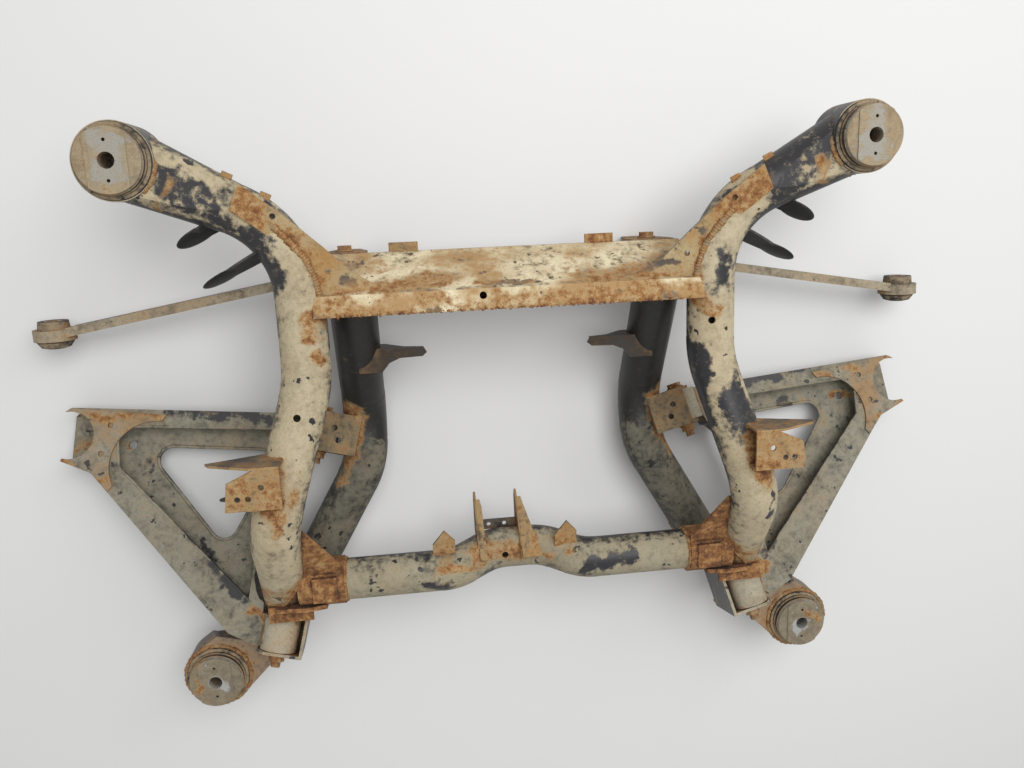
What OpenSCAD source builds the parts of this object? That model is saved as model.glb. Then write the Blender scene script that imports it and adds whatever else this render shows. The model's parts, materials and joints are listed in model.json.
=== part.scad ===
// Rear axle subframe of welded tube, with its two lower arms and two toe links bolted on.
// It lies on its back: +X is right, +Y is the front of the frame, +Z is its underside.
// X = 0 is the middle plane, Y = 0 lies midway between the mounts, Z = 0 is the floor.

/* [Body mounts] */
// Distance between the front mount axes
front_track = 880; // [860:1:900]
// Distance between the rear mount axes
rear_track = 860; // [845:1:875]
// Distance from the front mount axes to the rear ones
mount_base = 700; // [690:1:710]
// Height of the front mount faces
front_face_z = 258; // [254:1:262]
// Height of the rear mount faces
rear_face_z = 136; // [132:1:140]
// Bore for the body bolt
mount_bore = 18; // [12:0.5:22]
// Diameter of the core's top disc
disc_d = 71.5; // [66:0.5:76]
// Outside diameter of the welded mount sleeve
sleeve_d = 88; // [86:1:92]
// Wall of the mount sleeve
sleeve_wall = 4; // [3:0.5:5]
// Length of a front mount sleeve
front_sleeve_len = 58; // [54:1:64]
// Length of a rear mount sleeve
rear_sleeve_len = 48; // [44:1:52]

/* [Tubes] */
// Outside diameter of the main and arch tubes
tube_d = 60; // [57:0.5:62]
// Diameter of the drain holes
drain_d = 9; // [6:0.5:11]
// Wall of every tube
tube_wall = 3; // [2:0.25:4]
// Width of the main tube's flattened horn where it meets the mount sleeve
horn_d = 84; // [80:1:84]
// Height of the horn where it meets the mount sleeve
horn_h = 56; // [50:1:60]
// Half distance between the straight parts of the main tubes
main_x = 257; // [252:1:262]
// Height of the straight part of the main tubes
main_z = 201; // [197:1:205]
// Height of the main tube's crest above its straight part
crest_rise = 38; // [34:1:44]
// Half distance between the arch tubes at the front
arch_x = 198; // [194:1:202]
// Height of the lowest bend of the arch tubes
arch_low_z = 53; // [48:1:58]

/* [Crossmembers] */
// Outside diameter of the rear crossmember
rear_tube_d = 55; // [50:0.5:57]
// Half length of the raised middle of the rear crossmember
hump_half = 62; // [58:1:68]
// Sheet thickness of the front crossmember
box_wall = 4; // [3:0.25:5]
// Height of the front crossmember's lip
lip_z = 230; // [226:1:234]
// Sideways offset of the differential's seat
diff_offset = -25; // [-32:1:-18]
// Distance between the differential ears
ear_gap = 58; // [52:1:64]

/* [Plates] */
// Sheet thickness of the welded brackets
plate = 4; // [3:0.25:5]
// Sheet thickness of leaves and tabs
leaf = 3; // [2:0.25:4]

/* [Lower arms] */
// Depth of the pressed arm
arm_depth = 36; // [32:1:38]
// Sheet thickness of the arm
arm_sheet = 3; // [2:0.25:4]
// Width of the lip along the front edge
arm_front_lip = 24; // [20:1:27]
// Width of the lip along the slanting edge
arm_side_lip = 33; // [28:1:35]
// Angle that the arms are turned about their hinge
arm_droop = 7; // [6:0.25:7.5]
// Outside diameter of the arm's bush sleeves
arm_sleeve_d = 50; // [46:0.5:54]
// Length of the arm's bush sleeves
arm_sleeve_len = 45; // [42:0.5:45]

/* [Toe links] */
// Width of the link's pressed strap
strap_w = 12; // [10:0.5:14]
// Height of the link's pressed strap
strap_h = 32; // [28:1:36]
// Diameter of the link's inner eye
link_eye_d = 40; // [36:0.5:44]
// Length of the link's inner eye
link_eye_len = 40; // [36:0.5:42]
// Diameter of the link's outer eye
link_end_d = 53; // [48:0.5:58]
// Length of the link's outer eye
link_end_len = 15; // [13:0.5:18]

/* [Fasteners] */
// Diameter of the pivot bolts
bolt_d = 12; // [10:0.5:14]
// Width across the flats of heads and nuts
bolt_af = 18; // [17:0.5:20]
// Wall of the spacer tubes inside the bushes
spacer_wall = 4; // [3:0.25:5]

/* [Fits] */
// Running gap between a bush and its spacer
run_gap = 0.05; // [0.02:0.01:0.1]
// Gap between the end of an eye and its bracket ear
side_gap = 1; // [0.6:0.1:1.5]
// Gap round a bolt in its hole
hole_gap = 0.25; // [0.15:0.05:0.5]

/* [Hidden] */
$fn = 64;

// A length that reaches past everything it cuts
far = 1000;
// A bend is a hair fatter than the straights, which reach a little way into it
bend_swell = 0.3;
lap = 0.3;
tube_r = tube_d / 2;
sleeve_r = sleeve_d / 2;
rear_tube_r = rear_tube_d / 2;
front_mount = [front_track / 2, mount_base / 2, front_face_z];
rear_mount = [rear_track / 2, -mount_base / 2, rear_face_z];

// Stations along the frame: front bend, knee and crest of the main tube, rear crossmember
bend_y = front_mount[1] - 88;
knee_y = bend_y - 180;
crest_y = rear_mount[1] + 253;
rear_y = rear_mount[1] + 152;

// The planes that close the tubes: back of the front crossmember, and the node plates
box_back_y = bend_y - 99;
node_y = rear_y - 24;
node_plate = plate + 2;

// Main tube: mount axis, front bend, knee, crest, foot beyond the node plate
horn_z = front_face_z - 50;
main_route = [
    [front_mount[0], front_mount[1], horn_z],
    [main_x, bend_y, main_z],
    [main_x, knee_y, main_z],
    [main_x + 54, crest_y, main_z + crest_rise],
    [main_x + 65, crest_y - 153, main_z + crest_rise - 119]
];
main_bends = [115, 150, 90];

// Arch tube: front end inside the crossmember, low bend, sideways bend, foot
arch_route = [
    [arch_x, bend_y - 82, arch_low_z + 113],
    [arch_x + 2, 5, arch_low_z],
    [arch_x + 4, -65, arch_low_z + 15],
    [arch_x + 106, rear_y - 42, arch_low_z + 7]
];
arch_bends = [90, 110];

// Rear crossmember with a raised middle
rear_z = main_z - 35;
hump_y = 15;
hump_z = -25;
hump_slope = 54;
rear_bends = [70, 70, 70, 70];
function rear_point(x, up) = [x, rear_y + up * hump_y, rear_z + up * hump_z];
rear_route = [
    rear_point(-main_x - 40, 0),
    rear_point(-hump_half - hump_slope / 2, 0),
    rear_point(-hump_half + hump_slope / 2, 1),
    rear_point(hump_half - hump_slope / 2, 1),
    rear_point(hump_half + hump_slope / 2, 0),
    rear_point(main_x + 40, 0)
];

// Front crossmember section in Y and Z, and how far it reaches sideways
box_low_z = 112;
box_front_y = bend_y - 30;
box_half = main_x - 17;
box_outline = [
    [box_back_y, box_low_z], [box_front_y, box_low_z], [box_front_y, 125],
    [bend_y - 64, 198], [bend_y - 71, 212], [bend_y - 74, 222], [box_back_y + 5, lip_z], [box_back_y, lip_z]
];

// Hinge of an arm: from its rear eye to its front eye
arm_rear_eye = [main_x + 72, rear_y - 74, main_z - 43];
arm_front_eye = [arch_x + 64, -16, arch_low_z + 17];
hinge_line = arm_front_eye - arm_rear_eye;
hinge_len = norm(hinge_line);
hinge_yaw = atan2(-hinge_line[0], hinge_line[1]);
hinge_pitch = asin(hinge_line[2] / hinge_len);
arm_sleeve_r = arm_sleeve_d / 2;
arm_sleeve_wall = 3;
ear_in = arm_sleeve_len / 2 + side_gap;
ear_out = ear_in + plate;
ear_r = 18;
bracket_back_u = -arm_sleeve_r - 4;
rear_ear_drop = 72;
rear_wall_drop = 100;

// Arm outline in its own plane: U outward, V forward along the hinge, front eye at [0, 0]
eye_edge = arm_sleeve_len / 2 - 1;
arm_tip_u = 350;
arm_outline = concat(
    [[0, eye_edge], [26, eye_edge], [arm_tip_u - 6, -25], [arm_tip_u, -36], [arm_tip_u - 8, -95],
     [298, -110], [71, -291], [34, -hinge_len - eye_edge], [0, -hinge_len - eye_edge],
     [0, -hinge_len + eye_edge], [30, -hinge_len + eye_edge]],
    [for (a = [0:15:180]) [32 + 27 * sin(a), -hinge_len / 2 - (hinge_len / 2 - 36) * cos(a)]],
    [[28, -eye_edge], [0, -eye_edge]]
);
arm_hole = [[84, -58], [114, -152], [204, -74]];
arm_hole_r = 20;

// Toe link: inner pivot under the front crossmember, outer eye
link_pivot = [arch_x + 11, bend_y - 54, 75];
link_end = [front_mount[0] + 162, bend_y - 122, 55];
link_line = link_end - link_pivot;
link_yaw = atan2(link_line[1], link_line[0]);
link_pitch = -asin(link_line[2] / norm(link_line));
link_ear_in = link_eye_len / 2 + side_gap;
link_ear_out = link_ear_in + plate;
link_eye_wall = 3;
link_core_r = 11;

// Bolt sizes
bolt_r = bolt_d / 2;
spacer_in = bolt_r + hole_gap;
spacer_out = spacer_in + spacer_wall;
head_h = 8;
nut_h = 10;
bolt_tail = 8;

// Vector helpers
function unit(v) = v / norm(v);
function bend_angle(a, b, c) = acos(unit(b - a) * unit(c - b));
function bend_reach(a, b, c, r) = r * tan(bend_angle(a, b, c) / 2);

// Outline drawn round a counter-clockwise list of corner centres, with radius r at each
function edge_angle(p, q) = atan2(p[0] - q[0], q[1] - p[1]);
function turn_from(a, b) = b < a ? b + 360 : b;
function rounded(centres, r) = [
    for (i = [0:len(centres) - 1])
        let (
            last = centres[(i + len(centres) - 1) % len(centres)],
            next = centres[(i + 1) % len(centres)],
            a = edge_angle(last, centres[i]),
            b = turn_from(a, edge_angle(centres[i], next))
        )
        each arc(centres[i], r, a, b, 10)
];

// Points on an arc between two angles
function arc(centre, r, from, to, steps) = [
    for (k = [0:steps])
        let (a = from + (to - from) * k / steps)
        centre + r * [cos(a), sin(a)]
];

// Outline round a circle of radius ra about a and one of radius rb about b
function tapered(a, ra, b, rb) =
    let (
        way = atan2(b[1] - a[1], b[0] - a[0]),
        lean = acos((ra - rb) / norm(b - a))
    )
    concat(arc(a, ra, way + lean, way + 360 - lean, 40), arc(b, rb, way - lean, way + lean, 20));

// Puts the children in a frame with origin o and unit axes x and y
module place(o, x, y) {
    z = cross(x, y);
    multmatrix([
        [x[0], y[0], z[0], o[0]],
        [x[1], y[1], z[1], o[1]],
        [x[2], y[2], z[2], o[2]],
        [0, 0, 0, 1]
    ]) children();
}

// Points the children's +Z from a to b
module along(a, b) {
    w = unit(b - a);
    u = unit(cross([0, 0, 1], w));
    place(a, u, cross(w, u)) children();
}

// Straight length of round bar, or of pipe where wall is above 0
module straight(r, len, wall) rotate_extrude() polygon([
    [wall > 0 ? r - wall : 0, 0], [r, 0], [r, len], [wall > 0 ? r - wall : 0, len]
]);

// Solid cone pressed flat across its local Y, from half height h1 to h2
module flat_cone(r1, r2, h1, h2, len) intersection() {
    cylinder(r1 = r1, r2 = r2, h = len);
    rotate([90, 0, 90]) translate([0, 0, -far]) linear_extrude(2 * far)
        polygon([[-h1, 0], [h1, 0], [h2, len], [-h2, len]]);
}

// The main tube's horn: it widens and flattens towards its start
module horn(r, len, wall) difference() {
    flat_cone(horn_d / 2, r, horn_h / 2, r + 1, len);
    if (wall > 0) flat_cone(horn_d / 2 - wall, r - wall, horn_h / 2 - wall, r + 1 - wall, len);
}

// Round bar through a list of corner points, with a bend radius at each inner corner
module rod(route, bends, r, wall, flared = false) {
    last = len(route) - 1;
    cut = [for (i = [0:last]) i == 0 || i == last ? 0
        : bend_reach(route[i - 1], route[i], route[i + 1], bends[i - 1])];
    for (i = [0:last - 1]) {
        step = unit(route[i + 1] - route[i]);
        from = route[i] + step * (cut[i] - lap);
        to = route[i + 1] - step * (cut[i + 1] - lap);
        along(from, to) if (flared && i == 0) horn(r, norm(to - from), wall);
        else straight(r, norm(to - from), wall);
    }
    for (i = [1:last - 1]) {
        step = unit(route[i] - route[i - 1]);
        next = unit(route[i + 1] - route[i]);
        inward = unit(next - step * (next * step));
        start = route[i] - step * cut[i];
        place(start + inward * bends[i - 1], -inward, step)
            rotate_extrude(angle = bend_angle(route[i - 1], route[i], route[i + 1]))
                translate([bends[i - 1], 0]) difference() {
                    circle(r + bend_swell);
                    if (wall > 0) circle(r - wall - bend_swell);
                }
    }
}

module main_bar(wall = 0) rod(main_route, main_bends, tube_r, wall, flared = true);
module arch_bar(wall = 0) rod(arch_route, arch_bends, tube_r, wall);
module rear_bar(wall = 0) rod(rear_route, rear_bends, rear_tube_r, wall);

// Drain hole through the upper side of a piece
module drain(from) translate(from) cylinder(d = drain_d, h = 100);

// Half spaces that trim the tube ends
module before_y(y) translate([-far, y, -far]) cube(2 * far);
module behind_y(y) translate([-far, y - 2 * far, -far]) cube(2 * far);

module left() mirror([1, 0, 0]) children();
module both() {
    children();
    left() children();
}

// Moves the children to the hinge frame of the right arm: origin at the front eye, +Y forward
module hinge() translate(arm_front_eye) rotate([0, 0, hinge_yaw]) rotate([hinge_pitch, 0, 0]) children();
module hinge_rear() hinge() translate([0, -hinge_len, 0]) children();
// The arm itself is turned about that hinge
module arm_frame() hinge() rotate([0, arm_droop, 0]) children();
// A cylinder along +Y, centred on the origin
module barrel(r, len) rotate([90, 0, 0]) cylinder(r = r, h = len, center = true);

// Main frame

module main_tube() difference() {
    main_bar(tube_wall);
    translate([front_mount[0], front_mount[1], -far]) cylinder(r = sleeve_r, h = 2 * far);
    behind_y(node_y);
}

module arch_tube() difference() {
    arch_bar(tube_wall);
    before_y(box_back_y);
    behind_y(node_y);
}

module box_prism(outline) rotate([90, 0, 90]) translate([0, 0, -box_half])
    linear_extrude(2 * box_half) polygon(outline);

module front_crossmember() color("peru") difference() {
    box_prism(box_outline);
    rotate([90, 0, 90]) translate([0, 0, -far]) linear_extrude(2 * far)
        offset(delta = -box_wall) polygon(box_outline);
    both() main_bar();
    drain([diff_offset - 12, bend_y - 82, lip_z - 40]);
}

module rear_crossmember() color("tan") difference() {
    rear_bar(tube_wall);
    both() main_bar();
    drain([diff_offset + 6, ear_route_y, ear_route_z]);
}

gusset_slope_x = 8.75;
gusset_slope_y = 4.5;
gusset_outline = [
    [34, 38], [-14, -1], [-54, -38], [-86, -70], [-126, -94], [-126, -106],
    [-19, -106], [-12, -59], [7, -22], [46, 9]
];
gusset_holes = [[0, 0], [-57, -66]];
module gusset() difference() {
    translate([main_x + 19, bend_y + 22, main_z + 28])
        rotate([gusset_slope_y, -gusset_slope_x, 0]) difference() {
            linear_extrude(plate) polygon(gusset_outline);
            for (h = gusset_holes) translate([h[0], h[1], -1]) cylinder(d = 7, h = plate + 2);
        }
    main_bar();
    box_prism(box_outline);
}

// Mount: sleeve, rubber ring and aluminium core, with the face at the origin
disc_h = 7;
sleeve_top = -20;
core_r = disc_d / 2 - 12;
band_half = 22;

module mount_sleeve(len) translate([0, 0, sleeve_top - len]) difference() {
    cylinder(r = sleeve_r, h = len);
    translate([0, 0, -1]) cylinder(r = sleeve_r - sleeve_wall, h = len + 2);
}

// The rubber stands out of the sleeve in two ribs under the disc
module mount_rubber(len) rotate_extrude() polygon([
    [core_r, sleeve_top - len + 4], [sleeve_r - sleeve_wall, sleeve_top - len + 4],
    [sleeve_r - sleeve_wall, sleeve_top], [sleeve_r - 1, sleeve_top], [sleeve_r - 2, sleeve_top + 3],
    [disc_d / 2 + 3, sleeve_top + 4], [disc_d / 2 + 3, sleeve_top + 7], [disc_d / 2 - 2, sleeve_top + 7],
    [disc_d / 2 - 2, sleeve_top + 9], [disc_d / 2 + 1.5, sleeve_top + 9], [disc_d / 2 + 1.5, -disc_h],
    [core_r, -disc_h]
]);

module mount_core(len) difference() {
    union() {
        translate([0, 0, -disc_h]) cylinder(d = disc_d, h = disc_h);
        translate([0, 0, sleeve_top - len]) cylinder(r = core_r, h = len - sleeve_top - disc_h);
    }
    translate([0, 0, sleeve_top - len - 1]) cylinder(d = mount_bore, h = len - sleeve_top + 2);
    for (s = [-1, 1]) {
        translate([s * (band_half + far / 2), 0, 0]) cube([far, far, 4], center = true);
        translate([0, s * 21.6, -disc_h - 1]) cylinder(d = 4, h = disc_h + 2);
    }
}

// Node where main tube, arch tube and rear crossmember meet
node_top_z = main_z - 6;
node_outline = [
    [main_x + 8, 0], [main_x + 60, 0], [main_x + 84, 90], [main_x + 84, node_top_z - 26],
    [main_x + 68, node_top_z - 4], [main_x + 30, node_top_z], [main_x + 4, node_top_z - 6], [main_x - 2, 110]
];
collar_x = main_x - 21;
flange_z = main_z - 20;
module node_collar() translate([collar_x, rear_y, rear_z]) rotate([0, 90, 0])
    cylinder(r = rear_tube_r + plate, h = 60);
module node_shell() difference() {
    union() {
        translate([0, node_y, 0]) rotate([90, 0, 0]) linear_extrude(node_plate) polygon(node_outline);
        node_collar();
        translate([collar_x + 9, rear_y - 17, rear_z]) cube([32, 34, rear_tube_r + plate + 1]);
        translate([main_x + 23, node_y - 22, flange_z]) cube([58, 22, plate]);
        translate([0, rear_y + 22, rear_z + rear_tube_r - 6]) rotate([22, 0, 0]) linear_extrude(plate)
            polygon([[collar_x, -8], [collar_x, 8], [main_x + 22, 76], [main_x + 32, 74], [main_x + 50, -8]]);
    }
    rear_bar();
    main_bar();
    behind_y(node_y - 22);
}

// Pressed arm from the hinge bracket to the rear mount sleeve
mount_arm_top = rear_face_z - 22;
mount_arm_h = 40;
mount_arm_outline = tapered([rear_mount[0], rear_mount[1]], sleeve_r + 2, [main_x + 70, rear_y - 66], 34);
module mount_arm() difference() {
    translate([0, 0, mount_arm_top - mount_arm_h]) linear_extrude(mount_arm_h) polygon(mount_arm_outline);
    translate([0, 0, mount_arm_top - mount_arm_h - plate]) linear_extrude(mount_arm_h)
        offset(delta = -plate) polygon(mount_arm_outline);
    translate([rear_mount[0], rear_mount[1], 0]) cylinder(r = sleeve_r, h = far);
    hinge_rear() translate([-far, -ear_out, -far]) cube(2 * far);
}

// Bracket ear: a plate across the hinge, from the back wall to a round end about the bolt
module ear(from_v, back_u, low_w, high_w) translate([0, from_v + plate, 0]) rotate([90, 0, 0])
    linear_extrude(plate) difference() {
        union() {
            circle(ear_r);
            polygon([[back_u, low_w], [0, -ear_r], [0, ear_r], [back_u, high_w]]);
        }
        circle(bolt_r + hole_gap);
    }

module arm_rear_bracket() difference() {
    hinge_rear() {
        ear(ear_in, bracket_back_u, -rear_ear_drop, 26);
        translate([0, -ear_in, 0]) rotate([90, 0, 0]) linear_extrude(plate) difference() {
            polygon([[bracket_back_u, -rear_wall_drop], [28, -rear_wall_drop], [28, 6], [18, 22],
                     [bracket_back_u, 26]]);
            circle(bolt_r + hole_gap);
        }
        translate([bracket_back_u - plate, -ear_out, -rear_ear_drop])
            cube([plate, 2 * ear_out + 30, rear_ear_drop + 26]);
        translate([bracket_back_u, -ear_in, -arm_depth - 8]) cube([-bracket_back_u - 9, 2 * ear_in, plate]);
    }
    before_y(node_y - node_plate);
    node_collar();
}

bracket_roof_w = arm_sleeve_r + 3;
bracket_len = 52;
module arm_front_bracket() difference() {
    hinge() {
        ear(ear_in, -bracket_len, -24, bracket_roof_w);
        ear(-ear_out, -bracket_len, -24, bracket_roof_w);
        translate([-bracket_len, -ear_out, bracket_roof_w]) difference() {
            cube([bracket_len + 2, 2 * ear_out, plate]);
            for (p = [[26, 18], [34, 34]]) translate([p[0], p[1], -1]) cylinder(d = 8, h = plate + 2);
        }
        translate([-bracket_len, -ear_out, 0]) cube([plate, 2 * ear_out, bracket_roof_w + 1]);
        for (s = [-1, 1]) translate([-bracket_len, s > 0 ? ear_in : -ear_out, ear_r - 4])
            cube([bracket_len + 2, plate, bracket_roof_w - ear_r + 4]);
    }
    arch_bar();
}

module link_bracket() for (s = [-1, 1])
    translate([link_pivot[0], link_pivot[1] + (s > 0 ? link_ear_out : -link_ear_in), 0]) rotate([90, 0, 0])
        linear_extrude(plate) difference() {
            polygon([[-30, box_low_z], [28, box_low_z], [28, link_pivot[2] - 8], [16, 0], [-16, 0],
                     [-30, link_pivot[2] - 8]]);
            translate([0, link_pivot[2]]) circle(bolt_r + hole_gap);
        }

// Folded bracket on the crest of the main tube
side_top_z = main_z + crest_rise + 43;
// It starts at this share of the way from the knee to the crest
side_share = 0.47;
side_y = knee_y + side_share * (crest_y - knee_y);
side_outline = [
    [main_x + 32, side_y - 46], [main_x + 97, side_y - 46], [main_x + 93, side_y - 14], [main_x + 62, side_y],
    [main_x + 32, side_y]
];
side_holes = [[main_x + 54, side_y - 21], [main_x + 70, side_y - 34], [main_x + 82, side_y - 34]];
module side_bracket() difference() {
    union() {
        translate([0, 0, side_top_z - leaf]) linear_extrude(leaf) difference() {
            polygon(side_outline);
            for (h = side_holes) translate(h) circle(d = 7);
        }
        translate([0, side_y + leaf, 0]) rotate([90, 0, 0]) linear_extrude(leaf)
            polygon([[main_x + 32, main_z], [main_x + 58, main_z + crest_rise - 14],
                     [main_x + 122, main_z + crest_rise + 11], [main_x + 116, main_z + crest_rise + 20],
                     [main_x + 66, side_top_z], [main_x + 32, side_top_z]]);
        translate([0, side_y - 46, 0]) rotate([90, 0, 0]) linear_extrude(leaf)
            polygon([[main_x + 32, main_z], [main_x + 62, main_z + 10], [main_x + 97, side_top_z - 22],
                     [main_x + 97, side_top_z], [main_x + 32, side_top_z]]);
    }
    main_bar();
}

// Leaf plate: two arcs that meet in a blunt tip, its root sunk to the tube's axis
module leaf_blade(len, half_w) {
    r = (len * len + half_w * half_w) / (2 * half_w);
    translate([0, 0, -leaf / 2]) linear_extrude(leaf) intersection() {
        translate([0, half_w - r]) circle(r, $fn = 360);
        translate([0, r - half_w]) circle(r, $fn = 360);
        translate([0, -half_w]) square([len - 4, 2 * half_w]);
    }
}
// Each leaf: root, plan angle, tilt about its own length, length, half width
leaf_list = [
    [[main_x + 74, bend_y + 23, main_z + 8], -29, 62, 70, 16],
    [[main_x + 38, bend_y - 22, main_z + 4], -27, 70, 84, 16],
    [[main_x + 44, crest_y + 41, main_z + 12], -4, 20, 82, 12]
];
module leaves() difference() {
    for (l = leaf_list) translate(l[0]) rotate([0, 8, l[1]]) rotate([l[2], 0, 0]) leaf_blade(l[3], l[4]);
    main_bar();
}

// Angle tab on the inner side of the arch tube: a web, and a flange that widens at its root
module arch_tab() difference() {
    translate([arch_x, bend_y - 158, arch_low_z]) {
        translate([0, leaf, 0]) rotate([90, 0, 0]) linear_extrude(leaf)
            polygon([[-86, 86], [0, 86], [0, 40], [-34, 40], [-60, 70], [-86, 78]]);
        translate([0, 0, 86 - leaf]) linear_extrude(leaf)
            polygon([[-86, leaf], [-90, -4], [-84, -9], [-54, -10], [-40, -16], [-30, -28], [0, -28],
                     [0, leaf]]);
    }
    arch_bar();
}
module arch_tabs() color("peru") both() arch_tab();

module front_tabs() color("peru") both() translate([arch_x - 87, box_front_y, box_low_z + 8])
    cube([38, 12, plate]);

module rear_tabs() color("peru") difference() {
    for (s = [-1, 1]) translate([diff_offset + 6 + s * 83, rear_y, rear_z]) rotate([12, 0, 0])
        linear_extrude(leaf) polygon([[-15, 0], [15, 0], [15, 47], [1, 64], [-15, 43]]);
    rear_bar();
}

// Ears that hold the differential, and the bar between them
ear_route_y = rear_y + hump_y;
ear_route_z = rear_z + hump_z;
// Slope of the ears' upper edge, and the width of each ear's flange at its root
ear_lean = -atan2(44, 52);
ear_flange = [10, 27];
module differential_ear(flange) {
    translate([-leaf / 2, 0, 0]) rotate([90, 0, 90]) linear_extrude(leaf)
        polygon([[-8, 34], [14, 30], [66, -14], [74, -30], [62, -36], [20, -34], [0, 0]]);
    translate([0, 14, 30 - leaf]) rotate([ear_lean, 0, 0]) linear_extrude(leaf)
        polygon([[0, -20], [flange, -20], [8, 58], [6, 68], [0, 68]]);
}
module differential_ears() color("darkkhaki") difference() {
    for (i = [0, 1]) translate([diff_offset + (i - 0.5) * ear_gap, ear_route_y, ear_route_z])
        differential_ear(ear_flange[i]);
    rear_bar();
}
module differential_bar() color("dimgray")
    translate([diff_offset - ear_gap / 2 + leaf / 2, ear_route_y + 21, ear_route_z - 22]) difference() {
        cube([ear_gap - leaf, 14, leaf]);
        for (s = [0.3, 0.7]) translate([s * (ear_gap - leaf), 7, -1]) cylinder(d = 6, h = leaf + 2);
    }

// Bolt along +Y with its head in front and its nut behind; the ears lie between -out and +out
module pivot_bolt(out) {
    translate([0, out, 0]) rotate([-90, 30, 0]) cylinder(d = bolt_af / cos(30), h = head_h, $fn = 6);
    rotate([-90, 0, 0]) translate([0, 0, -out - nut_h - bolt_tail])
        cylinder(r = bolt_r, h = 2 * out + nut_h + bolt_tail);
    translate([0, -out, 0]) rotate([90, 0, 0]) difference() {
        cylinder(d = bolt_af / cos(30), h = nut_h, $fn = 6);
        translate([0, 0, -1]) cylinder(r = bolt_r, h = nut_h + 2);
    }
}
module spacer(half) rotate([90, 0, 0]) difference() {
    cylinder(r = spacer_out, h = 2 * half, center = true);
    cylinder(r = spacer_in, h = 2 * half + 2, center = true);
}

module arm_bolts() color("dimgray") both() {
    hinge() pivot_bolt(ear_out);
    hinge_rear() pivot_bolt(ear_out);
}
module arm_spacers() color("silver") both() {
    hinge() spacer(ear_in);
    hinge_rear() spacer(ear_in);
}
module link_bolts() color("dimgray") both() translate(link_pivot) pivot_bolt(link_ear_out);
module link_spacers() color("silver") both() translate(link_pivot) spacer(link_ear_in);

// Lower arms

module arm_sleeve_space() for (v = [0, -hinge_len]) translate([0, v, 0]) barrel(arm_sleeve_r, arm_sleeve_len);

module arm_window() polygon([
    [40, eye_edge - arm_front_lip], [arm_tip_u - 70, -16 - arm_front_lip], [arm_tip_u - 76, -60],
    [arm_tip_u - 86, -96], [50, -hinge_len + arm_side_lip], [58, -hinge_len / 2]
]);

module arm_pressing() difference() {
    translate([0, 0, -arm_depth]) difference() {
        linear_extrude(arm_depth) polygon(arm_outline);
        translate([0, 0, arm_sheet]) linear_extrude(arm_depth - 2 * arm_sheet)
            offset(delta = -arm_sheet) polygon(arm_outline);
        translate([0, 0, arm_depth / 2]) linear_extrude(arm_depth) arm_window();
        translate([0, 0, -1]) linear_extrude(arm_sheet + 2) polygon(rounded(arm_hole, arm_hole_r));
        translate([arm_tip_u - 50, -96, arm_sheet]) cube([90, 66, arm_depth]);
        translate([264, -62, -1]) cylinder(d = 12, h = arm_sheet + 2);
    }
    arm_sleeve_space();
}

// Plate over the outer end of the arm, hollowed on both sides
module arm_end_plate() linear_extrude(arm_sheet) difference() {
    polygon([[215, -14], [arm_tip_u - 6, -26], [arm_tip_u + 10, -42], [arm_tip_u + 4, -50],
             [arm_tip_u - 12, -90], [arm_tip_u - 8, -100], [298, -109], [270, -130]]);
    translate([215, -85]) circle(62);
    translate([arm_tip_u - 12, -63]) circle(33);
    for (p = [[286, -40], [290, -81]]) translate(p) circle(d = 8);
}

module arm_sleeves() for (v = [0, -hinge_len]) translate([0, v, 0]) difference() {
    barrel(arm_sleeve_r, arm_sleeve_len);
    barrel(arm_sleeve_r - arm_sleeve_wall, arm_sleeve_len + 2);
}
module arm_rubbers() for (v = [0, -hinge_len]) translate([0, v, 0]) difference() {
    barrel(arm_sleeve_r - arm_sleeve_wall, arm_sleeve_len);
    barrel(spacer_out + run_gap, arm_sleeve_len + 2);
}

// Toe links

module link_frame() translate(link_pivot) rotate([0, link_pitch, link_yaw]) children();
module at_link_end() translate(link_end) children();

module link_strap() difference() {
    link_frame() translate([0, -strap_w / 2, -strap_h / 2]) difference() {
        cube([norm(link_line), strap_w, strap_h]);
        translate([-1, leaf, -1]) cube([norm(link_line) + 2, strap_w - 2 * leaf, strap_h - leaf + 1]);
    }
    translate(link_pivot) barrel(link_eye_d / 2, far);
    at_link_end() barrel(link_end_d / 2, far);
}
module link_eyes() {
    translate(link_pivot) difference() {
        barrel(link_eye_d / 2, link_eye_len);
        barrel(link_eye_d / 2 - link_eye_wall, link_eye_len + 2);
    }
    at_link_end() difference() {
        barrel(link_end_d / 2, link_end_len);
        barrel(link_end_d / 2 - 2 * link_eye_wall, link_end_len + 2);
    }
}
module link_rubbers() {
    translate(link_pivot) difference() {
        barrel(link_eye_d / 2 - link_eye_wall, link_eye_len);
        barrel(spacer_out + run_gap, link_eye_len + 2);
    }
    at_link_end() rotate([90, 0, 0]) rotate_extrude() polygon([
        [link_core_r, -link_end_len / 2 - 11], [19, -link_end_len / 2 - 11],
        [20, -link_end_len / 2], [link_end_d / 2 - 2 * link_eye_wall, -link_end_len / 2],
        [link_end_d / 2 - 2 * link_eye_wall, link_end_len / 2], [23, link_end_len / 2 + 2],
        [18, link_end_len / 2 + 9], [link_core_r, link_end_len / 2 + 11]
    ]);
}
module link_core() at_link_end() difference() {
    barrel(link_core_r, link_end_len + 22);
    barrel(bolt_r + hole_gap, far);
}

// Nodes of the frame

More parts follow.
